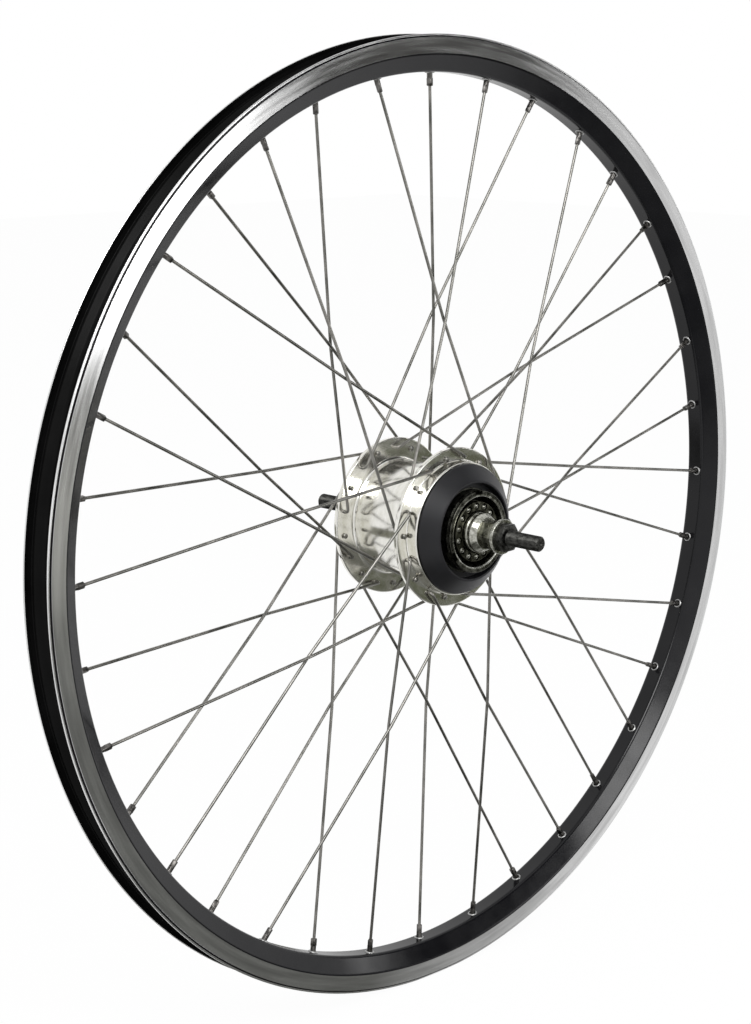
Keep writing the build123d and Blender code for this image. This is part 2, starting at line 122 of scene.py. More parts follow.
# Radius and height of each ring of a nipple's head, from the top of its neck
NIPPLE_HEAD_RINGS = (
    (NIPPLE_BODY_R, 0.0),
    (NIPPLE_HEAD_R, 0.9),
    (NIPPLE_HEAD_R, 1.4),
    (NIPPLE_HEAD_R * 0.75, 2.2),
)

# Eyelets
EYELET_OUTER = 3.3
EYELET_INNER = 2.05
EYELET_HEIGHT = 0.75
EYELET_ROOT = -0.4
EYELET_SIDES = 24
# Radius and height of each ring of an eyelet, from the rim's bed
EYELET_RINGS = (
    (EYELET_OUTER, EYELET_ROOT),
    (EYELET_OUTER, 0.25),
    (EYELET_OUTER - 0.35, EYELET_HEIGHT * 0.85),
    (EYELET_OUTER - 0.85, EYELET_HEIGHT),
    (EYELET_INNER + 0.3, EYELET_HEIGHT * 0.7),
    (EYELET_INNER, 0.1),
    (EYELET_INNER, EYELET_ROOT),
)

# Hub shell
R_FLANGE = 52.8
FLANGE_WIDTH = 3.0
DRIVE_FLANGE_Y = -24.0
LEFT_FLANGE_Y = 31.5
R_BARREL_DRIVE = 40.5
R_BARREL_LEFT = 37.5
R_SHOULDER = 44.0
SHOULDER_END_Y = -34.0
R_NECK = 35.5
NECK_END_Y = 40.0
R_CAVITY = 35.0
DRIVE_CUP_R = 38.0
LEFT_CUP_R = 29.5
CUP_DEPTH = 6.5
SPOKE_HOLE_R = 1.35

# Driver and its dust cap
DRIVER_BORE_R = 7.0
DRIVER_BACK_Y = -21.0
DRIVER_NECK_R = 24.0
DRIVER_STEP_Y = -27.0
DRIVER_BODY_R = 28.0
SPROCKET_STOP_Y = -38.5
SPROCKET_SEAT_R = 27.0
CLIP_GROOVE_R = 26.1
CLIP_GROOVE_START_Y = -45.1
CLIP_GROOVE_END_Y = -46.4
DRIVER_FACE_Y = -48.0
WORN_EDGE_R = 24.5
WORN_MARGIN = 0.1
WORN_DEPTH = 1.0
MOUTH_R = 23.5
MOUTH_FLOOR_R = 20.5
MOUTH_FLOOR_Y = -40.0
SLOTS = 3
SLOT_Y = -45.7
SLOT_SIZE = (7.0, 6.6, 4.4)
CAP_BORE_R = 28.02
CAP_WELL_R = 31.6
CAP_CROWN_R = 33.0
CAP_R = 43.0
CAP_BACK_Y = -34.6
CAP_FRONT_Y = -44.5
CAP_EDGE = 1.0
CAP_LEDGE = 2.0
CAP_WALL = 4.0

# Bearing seen in the driver's mouth
BALL_R = 3.0
BALL_CIRCLE = 16.85
BALL_Y = -43.5
BALLS = 14
CAGE_HOLE_R = 2.45
CAGE_INNER_R = 13.9
CAGE_OUTER_R = 19.9
CAGE_WALL = 0.6
CAGE_FACE_Y = -46.4
CAGE_FLOOR_Y = -45.7
CAGE_OUTER_END_Y = -42.4
CAGE_INNER_END_Y = -43.4
POCKET_DEPTH = 9.0

# Axle
AXLE_R = 5.0
AXLE_SEAT_R = 5.3
AXLE_FLAT = 4.7
AXLE_DRIVE_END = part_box("axle")[0].y / MM
AXLE_LEFT_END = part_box("axle")[1].y / MM
NUT_FACE_Y = 75.5
FLAT_START = 0.1
THREAD_PITCH = 1.0
THREAD_DEPTH = 0.55
AXLE_CHAMFER = 1.0
CENTRE_HOLE = 1.3

# Rings and nuts on the axle
BORE_R = 5.32
CONE_R = 13.2
CONE_TIP_R = 10.0
CONE_TAPER = 4.0
DRIVE_CONE_TIP_Y = -40.3
DRIVE_CONE_END_Y = -56.0
CONE_NOSE_R = 10.5
CONE_NOSE_Y = -52.0
CONE_GROOVE_R = 12.5
CONE_GROOVE_Y = -49.4
CONE_GROOVE_HALF = 0.8
CONE_GROOVE_FLOOR_HALF = 0.4
LEFT_CONE_TIP_Y = 34.5
LEFT_CONE_END_Y = 51.5
SPACER_R = 8.0
SPACER_LENGTH = 6.5
LEFT_CAP_BORE_R = 13.22
LEFT_CAP_R = 33.0
LEFT_CAP_BACK_Y = 40.6
LEFT_CAP_FACE_Y = 42.2
LEFT_CAP_DISH_Y = 41.7
LEFT_CAP_DISH = (16.1, 17.5, 22.6, 24.0)
LOCK_NUT_FACE_Y = 67.5
WASHER_FACE_Y = 70.0
WASHER_R = 11.5
NUT_EDGE = 0.18
NUT_FLAT_ANGLE = 1.0
NUT_EDGE_ANGLE = 20.0

# How finely the shapes are cut up
RIM_STEPS = 288
HUB_STEPS = 144
LEFT_CAP_STEPS = 120
BEARING_STEPS = 96
RING_STEPS = 72
AXLE_STEPS = 64
HOLE_SIDES = 28
ROUNDING_STEPS = 4
EDGE_STEPS = 2
BALL_SUBDIVISIONS = 3

# Flats longer than this get an edge close to each end, so that they shade as flats.
FLAT_LENGTH = 1.5
FLAT_EDGE = 0.12

# Points closer than this are merged.
WELD = 0.002

# A hole's cutter is this many walls long, so that it passes right through.
CUTTER_WALLS = 4

# Turns what points along +Z to lie along the axle
ALONG_AXLE = Matrix.Rotation(radians(90), 4, "X")

# Faces that meet at more than this many degrees keep a crisp edge.
CREASE = 30.0
THREAD_CREASE = 40.0
EYELET_CREASE = 50.0


def turn(angle):
    """The rotation that carries +Z to this many degrees round the axle, towards +X."""
    return Matrix.Rotation(radians(angle), 4, "Y")


def around(radius, angle, y):
    """A point in metres at this radius and angle round the axle, given in millimetres and degrees."""
    return Vector((radius * sin(radians(angle)), y, radius * cos(radians(angle)))) * MM


def at(x, y, z):
    """The move to a point given in millimetres."""
    return Matrix.Translation(Vector((x, y, z)) * MM)


def weld(bm):
    bmesh.ops.remove_doubles(bm, verts=bm.verts, dist=WELD * MM)


def face_outward(bm):
    bmesh.ops.recalc_face_normals(bm, faces=bm.faces)


def soften(bm, geom, size, segments, affect):
    """Rounds corners or edges by this size in millimetres."""
    bmesh.ops.bevel(
        bm, geom=geom, offset=size * MM, offset_type="OFFSET", segments=segments, profile=0.5,
        affect=affect, material=-1, clamp_overlap=True,
    )


def hold_flats(bm):
    """Puts a point close to each end of the long edges."""
    for edge in bm.edges[:]:
        length = edge.calc_length() / MM
        if length > FLAT_LENGTH:
            start, end = edge.verts
            bmesh.utils.edge_split(edge, start, FLAT_EDGE / length)
            bmesh.utils.edge_split(edge, end, FLAT_EDGE / (length - FLAT_EDGE))


def turned(corners, steps, closed=True):
    """A shape turned about the axle from (radius, y, rounding) corners in millimetres."""
    bm = bmesh.new()
    verts = [bm.verts.new((0, y * MM, radius * MM)) for radius, y, rounding in corners]
    for start, end in zip(verts, verts[1:]):
        bm.edges.new((start, end))
    if closed:
        bm.edges.new((verts[-1], verts[0]))
    for size in sorted({rounding for radius, y, rounding in corners if rounding}):
        rounded = [vert for vert, corner in zip(verts, corners) if corner[2] == size]
        soften(bm, rounded, size, ROUNDING_STEPS, "VERTICES")
    hold_flats(bm)
    wire = bm.verts[:] + bm.edges[:]
    bmesh.ops.spin(
        bm, geom=wire, cent=(0, 0, 0), axis=(0, 1, 0), angle=2 * pi, steps=steps, use_merge=True,
    )
    weld(bm)
    face_outward(bm)
    return bm


def join(bm, other):
    """Adds a second shape to the first one."""
    mesh = bpy.data.meshes.new("joined")
    other.to_mesh(mesh)
    other.free()
    bm.from_mesh(mesh)
    bpy.data.meshes.remove(mesh)


def drill(bm, radius, depth, spots):
    """Adds round cutters of this radius and depth, in millimetres, at these matrices."""
    for spot in spots:
        bmesh.ops.create_cone(
            bm, cap_ends=True, segments=HOLE_SIDES, radius1=radius * MM, radius2=radius * MM,
            depth=depth * MM, matrix=spot,
        )


def as_object(name, bm):
    mesh = bpy.data.meshes.new(name)
    bm.to_mesh(mesh)
    bm.free()
    piece = bpy.data.objects.new(name, mesh)
    bpy.context.scene.collection.objects.link(piece)
    return piece


def cut(piece, cutter):
    """Takes the cutter's shapes away from the piece."""
    tool = as_object("cutter", cutter)
    bite = piece.modifiers.new("cut", "BOOLEAN")
    bite.operation = "DIFFERENCE"
    bite.solver = "EXACT"
    bite.object = tool
    depsgraph = bpy.context.evaluated_depsgraph_get()
    mesh = bpy.data.meshes.new_from_object(piece.evaluated_get(depsgraph))
    piece.modifiers.remove(bite)
    old = piece.data
    piece.data = mesh
    mesh.name = piece.name
    bpy.data.meshes.remove(old)
    bpy.data.objects.remove(tool)


def place(piece, body, nodes, finishes, crease=CREASE):
    """Shades a finished piece and sets it on its body, in place of its CAD nodes."""
    for finish in finishes:
        piece.data.materials.append(finish)
    for face in piece.data.polygons:
        face.use_smooth = True
    piece.data.set_sharp_from_angle(angle=radians(crease))
    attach(piece, body)
    if nodes:
        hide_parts(*nodes)


# Finishes

# Where a noise pattern counts as low and as high
NOISE_RANGE = (0.3, 0.7)
RING_NOISE_RANGE = (0.32, 0.66)

# Noise detail in patches and in fine marks
PATCH_DETAIL = 3.0
FINE_DETAIL = 2.0
NOISE_ROUGHNESS = 0.55

# Scale of the patches in a coat, per metre
COAT_PATCH = 40.0

# Turning marks run this much further round the axle than patches do.
MARK_STRETCH = 5

# A metal's fine grain has this many times the scale of its patches.
GRAIN_FINENESS = 4
GRAIN_STRENGTH = 0.12

# How high the marks on a surface stand
TURNING_HEIGHT = 0.03
GRAIN_HEIGHT = 0.02
SKIN_HEIGHT = 0.04

# A quarter turn, so that brushed metal shines across its rings
BRUSH_TURN = 0.25


def new_finish(name):
    finish = bpy.data.materials.new(name)
    finish.use_nodes = True
    tree = finish.node_tree
    return finish, tree, tree.nodes["Principled BSDF"]


def object_coordinates(tree):
    return tree.nodes.new("ShaderNodeTexCoord").outputs["Object"]


def vector_maths(tree, operation, *sources):
    node = tree.nodes.new("ShaderNodeVectorMath")
    node.operation = operation
    for source, socket in zip(sources, node.inputs):
        tree.links.new(source, socket)
    return node


def ring_coordinates(tree, along):
    """Coordinates that make a pattern run in rings. Along says how fast it changes round the axle."""
    split = tree.nodes.new("ShaderNodeSeparateXYZ")
    tree.links.new(object_coordinates(tree), split.inputs[0])
    flat = tree.nodes.new("ShaderNodeCombineXYZ")
    tree.links.new(split.outputs["X"], flat.inputs["X"])
    tree.links.new(split.outputs["Z"], flat.inputs["Z"])
    radius = vector_maths(tree, "LENGTH", flat.outputs[0])
    heading = vector_maths(tree, "NORMALIZE", flat.outputs[0])
    slowed = vector_maths(tree, "SCALE", heading.outputs[0])
    slowed.inputs["Scale"].default_value = along
    across = tree.nodes.new("ShaderNodeMath")
    tree.links.new(radius.outputs["Value"], across.inputs[0])
    tree.links.new(split.outputs["Y"], across.inputs[1])
    lift = tree.nodes.new("ShaderNodeCombineXYZ")
    tree.links.new(across.outputs[0], lift.inputs["Y"])
    return vector_maths(tree, "ADD", slowed.outputs[0], lift.outputs[0]).outputs[0]


def noise(tree, coordinates, scale, detail=PATCH_DETAIL):
    texture = tree.nodes.new("ShaderNodeTexNoise")
    texture.inputs["Scale"].default_value = scale
    texture.inputs["Detail"].default_value = detail
    texture.inputs["Roughness"].default_value = NOISE_ROUGHNESS
    tree.links.new(coordinates, texture.inputs["Vector"])
    return texture.outputs["Fac"]


def ramp(tree, factor, span, dark, light):
    """A colour that goes from dark to light as the factor goes over the span."""
    blend = tree.nodes.new("ShaderNodeValToRGB")
    for element, position, colour in zip(blend.color_ramp.elements, span, (dark, light)):
        element.position = position
        element.color = (*colour, 1.0)
    tree.links.new(factor, blend.inputs["Fac"])
    return blend.outputs["Color"]


def spread(tree, factor, span, low, high):
    """A number that goes from low to high as the factor goes over the span."""
    remap = tree.nodes.new("ShaderNodeMapRange")
    remap.inputs["From Min"].default_value = span[0]
    remap.inputs["From Max"].default_value = span[1]
    remap.inputs["To Min"].default_value = low
    remap.inputs["To Max"].default_value = high
    tree.links.new(factor, remap.inputs["Value"])
    return remap.outputs["Result"]


def bump(tree, shader, height, strength, distance):
    dent = tree.nodes.new("ShaderNodeBump")
    dent.inputs["Strength"].default_value = strength
    dent.inputs["Distance"].default_value = distance * MM
    tree.links.new(height, dent.inputs["Height"])
    tree.links.new(dent.outputs["Normal"], shader.inputs["Normal"])


def dress(tree, shader, patches, span, dark, light, rough):
    """Gives a shader a colour and a roughness that follow a pattern of patches."""
    tree.links.new(ramp(tree, patches, span, dark, light), shader.inputs["Base Color"])
    tree.links.new(spread(tree, patches, NOISE_RANGE, *rough), shader.inputs["Roughness"])


def brush(tree, shader, amount):
    """Stretches a metal's shine across the rings that its brushing left about the axle."""
    shader.inputs["Anisotropic"].default_value = amount
    shader.inputs["Anisotropic Rotation"].default_value = BRUSH_TURN
    tangent = tree.nodes.new("ShaderNodeTangent")
    tangent.direction_type = "RADIAL"
    tangent.axis = "Y"
    tree.links.new(tangent.outputs[0], shader.inputs["Tangent"])


def turned_metal(name, dark, light, rough, patch, marks=1500.0, depth=0.2, along=0.01, brushed=0.0):
    """Metal with turning marks and patches that run in rings about the axle."""
    finish, tree, shader = new_finish(name)
    shader.inputs["Metallic"].default_value = 1.0
    if brushed:
        brush(tree, shader, brushed)
    patches = noise(tree, ring_coordinates(tree, along), patch)
    dress(tree, shader, patches, RING_NOISE_RANGE, dark, light, rough)
    rings = noise(tree, ring_coordinates(tree, along / MARK_STRETCH), marks, FINE_DETAIL)
    bump(tree, shader, rings, depth, TURNING_HEIGHT)
    return finish


def plain_metal(name, dark, light, rough, patch):
    """Drawn or pressed metal with a fine grain and small patches."""
    finish, tree, shader = new_finish(name)
    shader.inputs["Metallic"].default_value = 1.0
    patches = noise(tree, object_coordinates(tree), patch)
    dress(tree, shader, patches, NOISE_RANGE, dark, light, rough)
    grain = noise(tree, object_coordinates(tree), GRAIN_FINENESS * patch, FINE_DETAIL)
    bump(tree, shader, grain, GRAIN_STRENGTH, GRAIN_HEIGHT)
    return finish


def coat(name, dark, light, rough, grain, depth, shine):
    """A coloured coat or moulded plastic with a fine skin."""
    finish, tree, shader = new_finish(name)
    shader.inputs["Specular IOR Level"].default_value = shine
    patches = noise(tree, object_coordinates(tree), COAT_PATCH)
    dress(tree, shader, patches, NOISE_RANGE, dark, light, rough)
    bump(tree, shader, noise(tree, object_coordinates(tree), grain, FINE_DETAIL), depth, SKIN_HEIGHT)
    return finish


RIM_COAT = coat(
    "black_rim_coat", dark=(0.003, 0.003, 0.004), light=(0.006, 0.006, 0.007),
    rough=(0.11, 0.19), grain=900.0, depth=0.06, shine=0.24,
)
RIM_WELL = coat(
    "black_tyre_well", dark=(0.003, 0.003, 0.003), light=(0.006, 0.006, 0.006),
    rough=(0.28, 0.4), grain=700.0, depth=0.15, shine=0.05,
)
BRAKE_TRACK = turned_metal(
    "machined_brake_track", dark=(0.46, 0.46, 0.46), light=(0.68, 0.68, 0.68),
    rough=(0.1, 0.2), patch=260.0, marks=2200.0, depth=0.12, along=0.02, brushed=0.5,
)
# The lip's top and its set-back band are bright machined metal; their brightness also paints in the white
# highlight that the lip shows from above.
LIP_METAL_AND_HIGHLIGHT = turned_metal(
    "bright_rim_lip", dark=(0.62, 0.62, 0.62), light=(0.78, 0.78, 0.78),
    rough=(0.2, 0.3), patch=120.0, along=0.05,
)
SPOKE_WIRE = plain_metal(
    "spoke_wire", dark=(0.11, 0.11, 0.1), light=(0.3, 0.29, 0.27), rough=(0.25, 0.4), patch=60.0,
)
NIPPLE_PLATE = plain_metal(
    "nipple_plating", dark=(0.03, 0.03, 0.028), light=(0.2, 0.19, 0.18), rough=(0.25, 0.45), patch=300.0,
)
EYELET_METAL = plain_metal(
    "eyelet_metal", dark=(0.2, 0.2, 0.2), light=(0.5, 0.5, 0.49), rough=(0.3, 0.45), patch=300.0,
)
HUB_POLISH = turned_metal(
    "polished_hub_shell", dark=(0.72, 0.71, 0.65), light=(0.87, 0.86, 0.82),
    rough=(0.11, 0.2), patch=160.0, along=0.02, brushed=0.4,
)
CAP_PLASTIC = coat(
    "dust_cap_plastic", dark=(0.006, 0.006, 0.007), light=(0.011, 0.011, 0.013),
    rough=(0.32, 0.42), grain=1600.0, depth=0.25, shine=0.26,
)
AXLE_STEEL = turned_metal(
    "dark_axle_steel", dark=(0.014, 0.014, 0.013), light=(0.075, 0.075, 0.07),
    rough=(0.3, 0.45), patch=300.0,
)
CONE_STEEL = turned_metal(
    "bright_cone_steel", dark=(0.2, 0.2, 0.165), light=(0.55, 0.55, 0.5),
    rough=(0.12, 0.28), patch=300.0, along=0.02, brushed=0.5,
)
NUT_STEEL = turned_metal(
    "olive_nut_steel", dark=(0.1, 0.1, 0.07), light=(0.32, 0.32, 0.27), rough=(0.22, 0.38), patch=300.0,
)
DRIVER_STEEL = turned_metal(
    "dark_driver_steel", dark=(0.02, 0.02, 0.016), light=(0.1, 0.1, 0.085),
    rough=(0.2, 0.4), patch=260.0, along=0.03,
)
DRIVER_EDGE = turned_metal(
    "worn_driver_edge", dark=(0.2, 0.2, 0.18), light=(0.6, 0.6, 0.56),
    rough=(0.15, 0.3), patch=260.0, along=0.03,
)
CAGE_STEEL = plain_metal(
    "greased_cage_steel", dark=(0.012, 0.012, 0.008), light=(0.1, 0.1, 0.075),
    rough=(0.2, 0.45), patch=260.0,
)
BALL_STEEL = plain_metal(
    "ball_steel", dark=(0.1, 0.1, 0.08), light=(0.4, 0.4, 0.36), rough=(0.08, 0.2), patch=300.0,
)
LEFT_CAP_STEEL = turned_metal(
    "left_cap_steel", dark=(0.3, 0.3, 0.29), light=(0.5, 0.5, 0.48),
    rough=(0.22, 0.35), patch=160.0, brushed=0.4,
)
GEAR_STEEL = turned_metal(
    "oiled_gear_steel", dark=(0.2, 0.2, 0.18), light=(0.45, 0.45, 0.42), rough=(0.2, 0.4), patch=160.0,
)


# Rim

def mirrored(half):
    """The corners of a section from those of its +Y half."""
    return half + [(radius, -y, rounding) for radius, y, rounding in reversed(half)]


def rim_skin():
    inner_lip = RIM_HALF - LIP_WIDTH
    return turned(mirrored([
        (R_BED, BED_HALF, 1.6),
        (R_TRACK, RIM_HALF, 1.0),
        (R_TRACK + TRACK_EDGE, RIM_HALF, 0),
        (R_LIP - LIP_HEIGHT, RIM_HALF, 0.2),
        (R_LIP - LIP_HEIGHT, RIM_HALF - SET_BACK, 0.15),
        (R_LIP - BRIGHT_LIP, RIM_HALF - SET_BACK, 0),
        (R_LIP, RIM_HALF - SET_BACK, 0.5),
        (R_LIP, inner_lip - HOOK, 0.5),
        (R_LIP - HOOK_HEIGHT, inner_lip - HOOK, 0.4),
        (R_LIP - HOOK_END, inner_lip + LIP_HOLLOW, 0.3),
        (R_SEAT, inner_lip + LIP_HOLLOW, 0.5),
        (R_SEAT, inner_lip - SHELF_WIDTH, 0.6),
        (R_WELL, WELL_HALF, 1.5),
    ]), RIM_STEPS)


def rim_chamber():
    """The hollow between the rim's two walls, facing inwards."""
    slope = atan2(RIM_HALF - BED_HALF, R_TRACK - R_BED)
    floor_half = BED_HALF + RIM_WALL * (tan(slope) - 1 / cos(slope))
    top_half = RIM_HALF - RIM_WALL
    chamber = turned(mirrored([
        (R_BED + RIM_WALL, floor_half, 0),
        (R_BED + RIM_WALL + (top_half - floor_half) / tan(slope), top_half, 0),
        (R_WELL - RIM_WALL, top_half, 0),
    ]), RIM_STEPS)
    bmesh.ops.reverse_faces(chamber, faces=chamber.faces)
    return chamber


def rim_holes():
    """Cutters for the nipples' holes, the access holes above them and the valve's hole."""
    angles = [FIRST_SPOKE + RIM_STEP * index for index in range(SPOKES)]
    sides = [(RIM_STAGGER if index % 2 == 0 else -RIM_STAGGER) for index in range(SPOKES)]
    bed = [turn(angle) @ at(0, y, R_BED) for angle, y in zip(angles, sides)]
    well = [turn(angle) @ at(0, 0, R_WELL) for angle in angles]
    valve = [turn(VALVE_ANGLE) @ at(0, 0, (R_BED + R_WELL) / 2)]
    holes = bmesh.new()
    drill(holes, NIPPLE_HOLE_R, CUTTER_WALLS * RIM_WALL, bed)
    drill(holes, ACCESS_HOLE_R, CUTTER_WALLS * RIM_WALL, well)
    drill(holes, VALVE_HOLE_R, 2 * (R_WELL - R_BED), valve)
    return holes


def rim_finish(face):
    """Which finish a face of the rim has: 0 coat, 1 brake track, 2 lip, 3 tyre well."""
    middle = face.center / MM
    radius = hypot(middle.x, middle.z)
    width = abs(middle.y)
    if width > RIM_HALF - TRACK_MARGIN and R_TRACK + TRACK_EDGE < radius < R_LIP - LIP_HEIGHT:
        return 1
    # Slot 2, the lip's bright metal, which also paints in the lip's highlight from above.
    if radius > R_LIP - LIP_TOP:
        return 2
    if radius > R_LIP - BRIGHT_LIP and width > RIM_HALF - SET_BACK - LIP_MARGIN:
        return 2
    if radius > R_WELL - WELL_MARGIN and width < RIM_HALF - LIP_WIDTH + LIP_HOLLOW:
        return 3
    return 0


def make_rim():
    shell = rim_skin()
    join(shell, rim_chamber())
    rim = as_object("rim_shell", shell)
    cut(rim, rim_holes())
    place(rim, "wheel", ["rim"], [RIM_COAT, BRAKE_TRACK, LIP_METAL_AND_HIGHLIGHT, RIM_WELL])
    for face in rim.data.polygons:
        face.material_index = rim_finish(face)


# Spokes, nipples and eyelets

def lace(flange_y, outward, first, sense, elbow_outside):
    """Where one spoke of a group runs, in metres: head, elbow, last crossing, and its nipple's foot."""
    rim_angle = FIRST_SPOKE + first * RIM_STEP
    hole_angle = rim_angle + sense * LACE_TURN
    bend = outward if elbow_outside else -outward
    seat_y = flange_y - bend * FLANGE_WIDTH / 2
    elbow = around(R_HOLES, hole_angle, seat_y + bend * ELBOW_LENGTH)
    seat = around(R_BED, rim_angle, outward * RIM_STAGGER)
    meeting = around(1 / MM, hole_angle - sense * (LACE_TURN - RIM_STEP), 0)
    run = seat - elbow
    share = -elbow.cross(meeting).y / run.cross(meeting).y
    middle = (flange_y * MM) * (1 - share) + seat.y * share
    swap = -outward if elbow_outside else outward
    crossing = elbow + run * share
    crossing.y = middle + swap * CROSS_SPREAD / 2 * MM
    axis = (seat - crossing).normalized()
    return {
        "rim_angle": rim_angle,
        "outward": outward,
        "head": around(R_HOLES, hole_angle, seat_y),
        "elbow": elbow,
        "crossing": crossing,
        "axis": axis,
        "foot": seat - axis * NIPPLE_REACH * MM,
    }


LACINGS = {
    "spokes_drive_outer": lace(DRIVE_FLANGE_Y, -1, 3, 1, True),
    "spokes_drive_inner": lace(DRIVE_FLANGE_Y, -1, 1, -1, False),
    "spokes_left_outer": lace(LEFT_FLANGE_Y, 1, 0, 1, True),
    "spokes_left_inner": lace(LEFT_FLANGE_Y, 1, 2, -1, False),
}


def facing(point, direction):
    """A place at this point whose Z axis looks along the direction."""
    return Matrix.Translation(point) @ direction.to_track_quat("Z", "Y").to_matrix().to_4x4()


def drawn_out(bm, edges, shift):
    """Draws a ring of edges out by this shift, and gives back the new ring's edges and points."""
    grown = bmesh.ops.extrude_edge_only(bm, edges=edges)["geom"]
    verts = [part for part in grown if isinstance(part, bmesh.types.BMVert)]
    bmesh.ops.translate(bm, verts=verts, vec=shift)
    ring = [e for e in grown if isinstance(e, bmesh.types.BMEdge) and all(v in verts for v in e.verts)]
    return ring, verts


def stacked(bm, edges, base, axis, first, rings):
    """Draws a first ring out through more of them, each a radius and a height along the axis."""
    radius, height = first
    for ring_radius, ring_height in rings:
        edges, verts = drawn_out(bm, edges, axis * (ring_height - height) * MM)
        centre = base + axis * ring_height * MM
        factor = ring_radius / radius
        bmesh.ops.scale(bm, verts=verts, vec=(factor,) * 3, space=Matrix.Translation(-centre))
        radius, height = ring_radius, ring_height
    return edges


def swung(bm, verts, centre, start, end):
    """Turns points about a centre by the angle from one direction to another."""
    swing = start.rotation_difference(end).to_matrix()
    bmesh.ops.rotate(bm, verts=verts, cent=centre, matrix=swing)


def repeated(bm, count):
    """Adds copies of what is there, evenly spaced round the axle."""
    first = bm.verts[:] + bm.edges[:] + bm.faces[:]
    for index in range(1, count):
        copy = bmesh.ops.duplicate(bm, geom=first)["geom"]
        verts = [part for part in copy if isinstance(part, bmesh.types.BMVert)]
        bmesh.ops.rotate(bm, verts=verts, cent=(0, 0, 0), matrix=turn(360 / count * index).to_3x3())


def spoke(lacing):
    """One spoke: a domed head, a bent elbow, and a wire that gives way a little at the crossing."""
    bm = bmesh.new()
    head, elbow, crossing = lacing["head"], lacing["elbow"], lacing["crossing"]
    through = (elbow - head).normalized()
    first_run = (crossing - elbow).normalized()
    end = lacing["foot"] + lacing["axis"] * THREAD_LENGTH * MM
    bmesh.ops.create_circle(
        bm, cap_ends=False, segments=WIRE_SIDES, radius=WIRE_R * MM, matrix=facing(head, through),
    )
    base = bm.edges[:]
    dome = stacked(bm, base, head, -through, (WIRE_R, 0.0), HEAD_RINGS)
    bmesh.ops.contextual_create(bm, geom=dome)
    angle = through.angle(first_run)
    reach = ELBOW_R * MM * tan(angle / 2)
    edges, verts = drawn_out(bm, base, elbow - through * reach - head)
    hinge = through.cross(first_run).normalized()
    centre = elbow - through * reach + hinge.cross(through) * ELBOW_R * MM
    bent = bmesh.ops.spin(
        bm, geom=edges + verts, cent=centre, axis=hinge, angle=angle, steps=ELBOW_STEPS, use_merge=False,
    )["geom_last"]
    edges = [part for part in bent if isinstance(part, bmesh.types.BMEdge)]
    half = (first_run + lacing["axis"]).normalized()
    edges, verts = drawn_out(bm, edges, crossing - elbow - first_run * reach)
    swung(bm, verts, crossing, first_run, half)
    edges, verts = drawn_out(bm, edges, end - crossing)
    swung(bm, verts, end, half, lacing["axis"])
    bmesh.ops.contextual_create(bm, geom=edges)
    weld(bm)
    face_outward(bm)
    return bm


def nipple(lacing):
    """One nipple: a square foot for the key, a round neck, and a domed head inside the rim."""
    foot, axis = lacing["foot"], lacing["axis"]
    bm = bmesh.new()
    bmesh.ops.create_circle(
        bm, cap_ends=True, segments=4, radius=NIPPLE_SQUARE / 2 * 2 ** 0.5 * MM, matrix=facing(foot, axis),
    )
    top_edges = drawn_out(bm, bm.edges[:], axis * NIPPLE_SQUARE_LENGTH * MM)[0]
    bmesh.ops.contextual_create(bm, geom=top_edges)
    face_outward(bm)
    soften(bm, bm.edges[:], NIPPLE_EDGE, EDGE_STEPS, "EDGES")
    neck = bmesh.new()
    start = foot + axis * (NIPPLE_SQUARE_LENGTH - NIPPLE_OVERLAP) * MM
    bmesh.ops.create_circle(
        neck, cap_ends=True, segments=NIPPLE_SIDES, radius=NIPPLE_BODY_R * MM, matrix=facing(start, axis),
    )
    top = NIPPLE_REACH + RIM_WALL + NIPPLE_HEAD_GAP - NIPPLE_SQUARE_LENGTH + NIPPLE_OVERLAP
    rings = [(radius, top + height) for radius, height in NIPPLE_HEAD_RINGS]
    dome = stacked(neck, neck.edges[:], start, axis, (NIPPLE_BODY_R, 0.0), rings)
    bmesh.ops.contextual_create(neck, geom=dome)
    face_outward(neck)
    join(bm, neck)
    return bm


def eyelet(lacing):
    """A pressed ring round the nipple, on the rim's bed."""
    bm = bmesh.new()
    middle = around(R_BED, lacing["rim_angle"], lacing["outward"] * RIM_STAGGER)
    inward = -around(1, lacing["rim_angle"], 0).normalized()
    bmesh.ops.create_circle(
        bm, cap_ends=False, segments=EYELET_SIDES, radius=EYELET_OUTER * MM,
        matrix=facing(middle + inward * EYELET_ROOT * MM, inward),
    )
    stacked(bm, bm.edges[:], middle, inward, EYELET_RINGS[0], EYELET_RINGS[1:])
    open_ends = [edge for edge in bm.edges if edge.is_boundary]
    bmesh.ops.bridge_loops(bm, edges=open_ends)
    face_outward(bm)
    return bm


def make_lacing():
    nipples, eyelets = bmesh.new(), bmesh.new()
    for node, lacing in LACINGS.items():
        wires = spoke(lacing)
        repeated(wires, GROUP)
        bundle = as_object(node.replace("spokes", "wires"), wires)
        place(bundle, "wheel", [node], [SPOKE_WIRE])
        for shape, made in ((nipples, nipple(lacing)), (eyelets, eyelet(lacing))):
            repeated(made, GROUP)
            join(shape, made)
    place(as_object("nipple_set", nipples), "wheel", ["nipples"], [NIPPLE_PLATE])
    place(as_object("eyelets", eyelets), "wheel", [], [EYELET_METAL], EYELET_CREASE)


# Hub

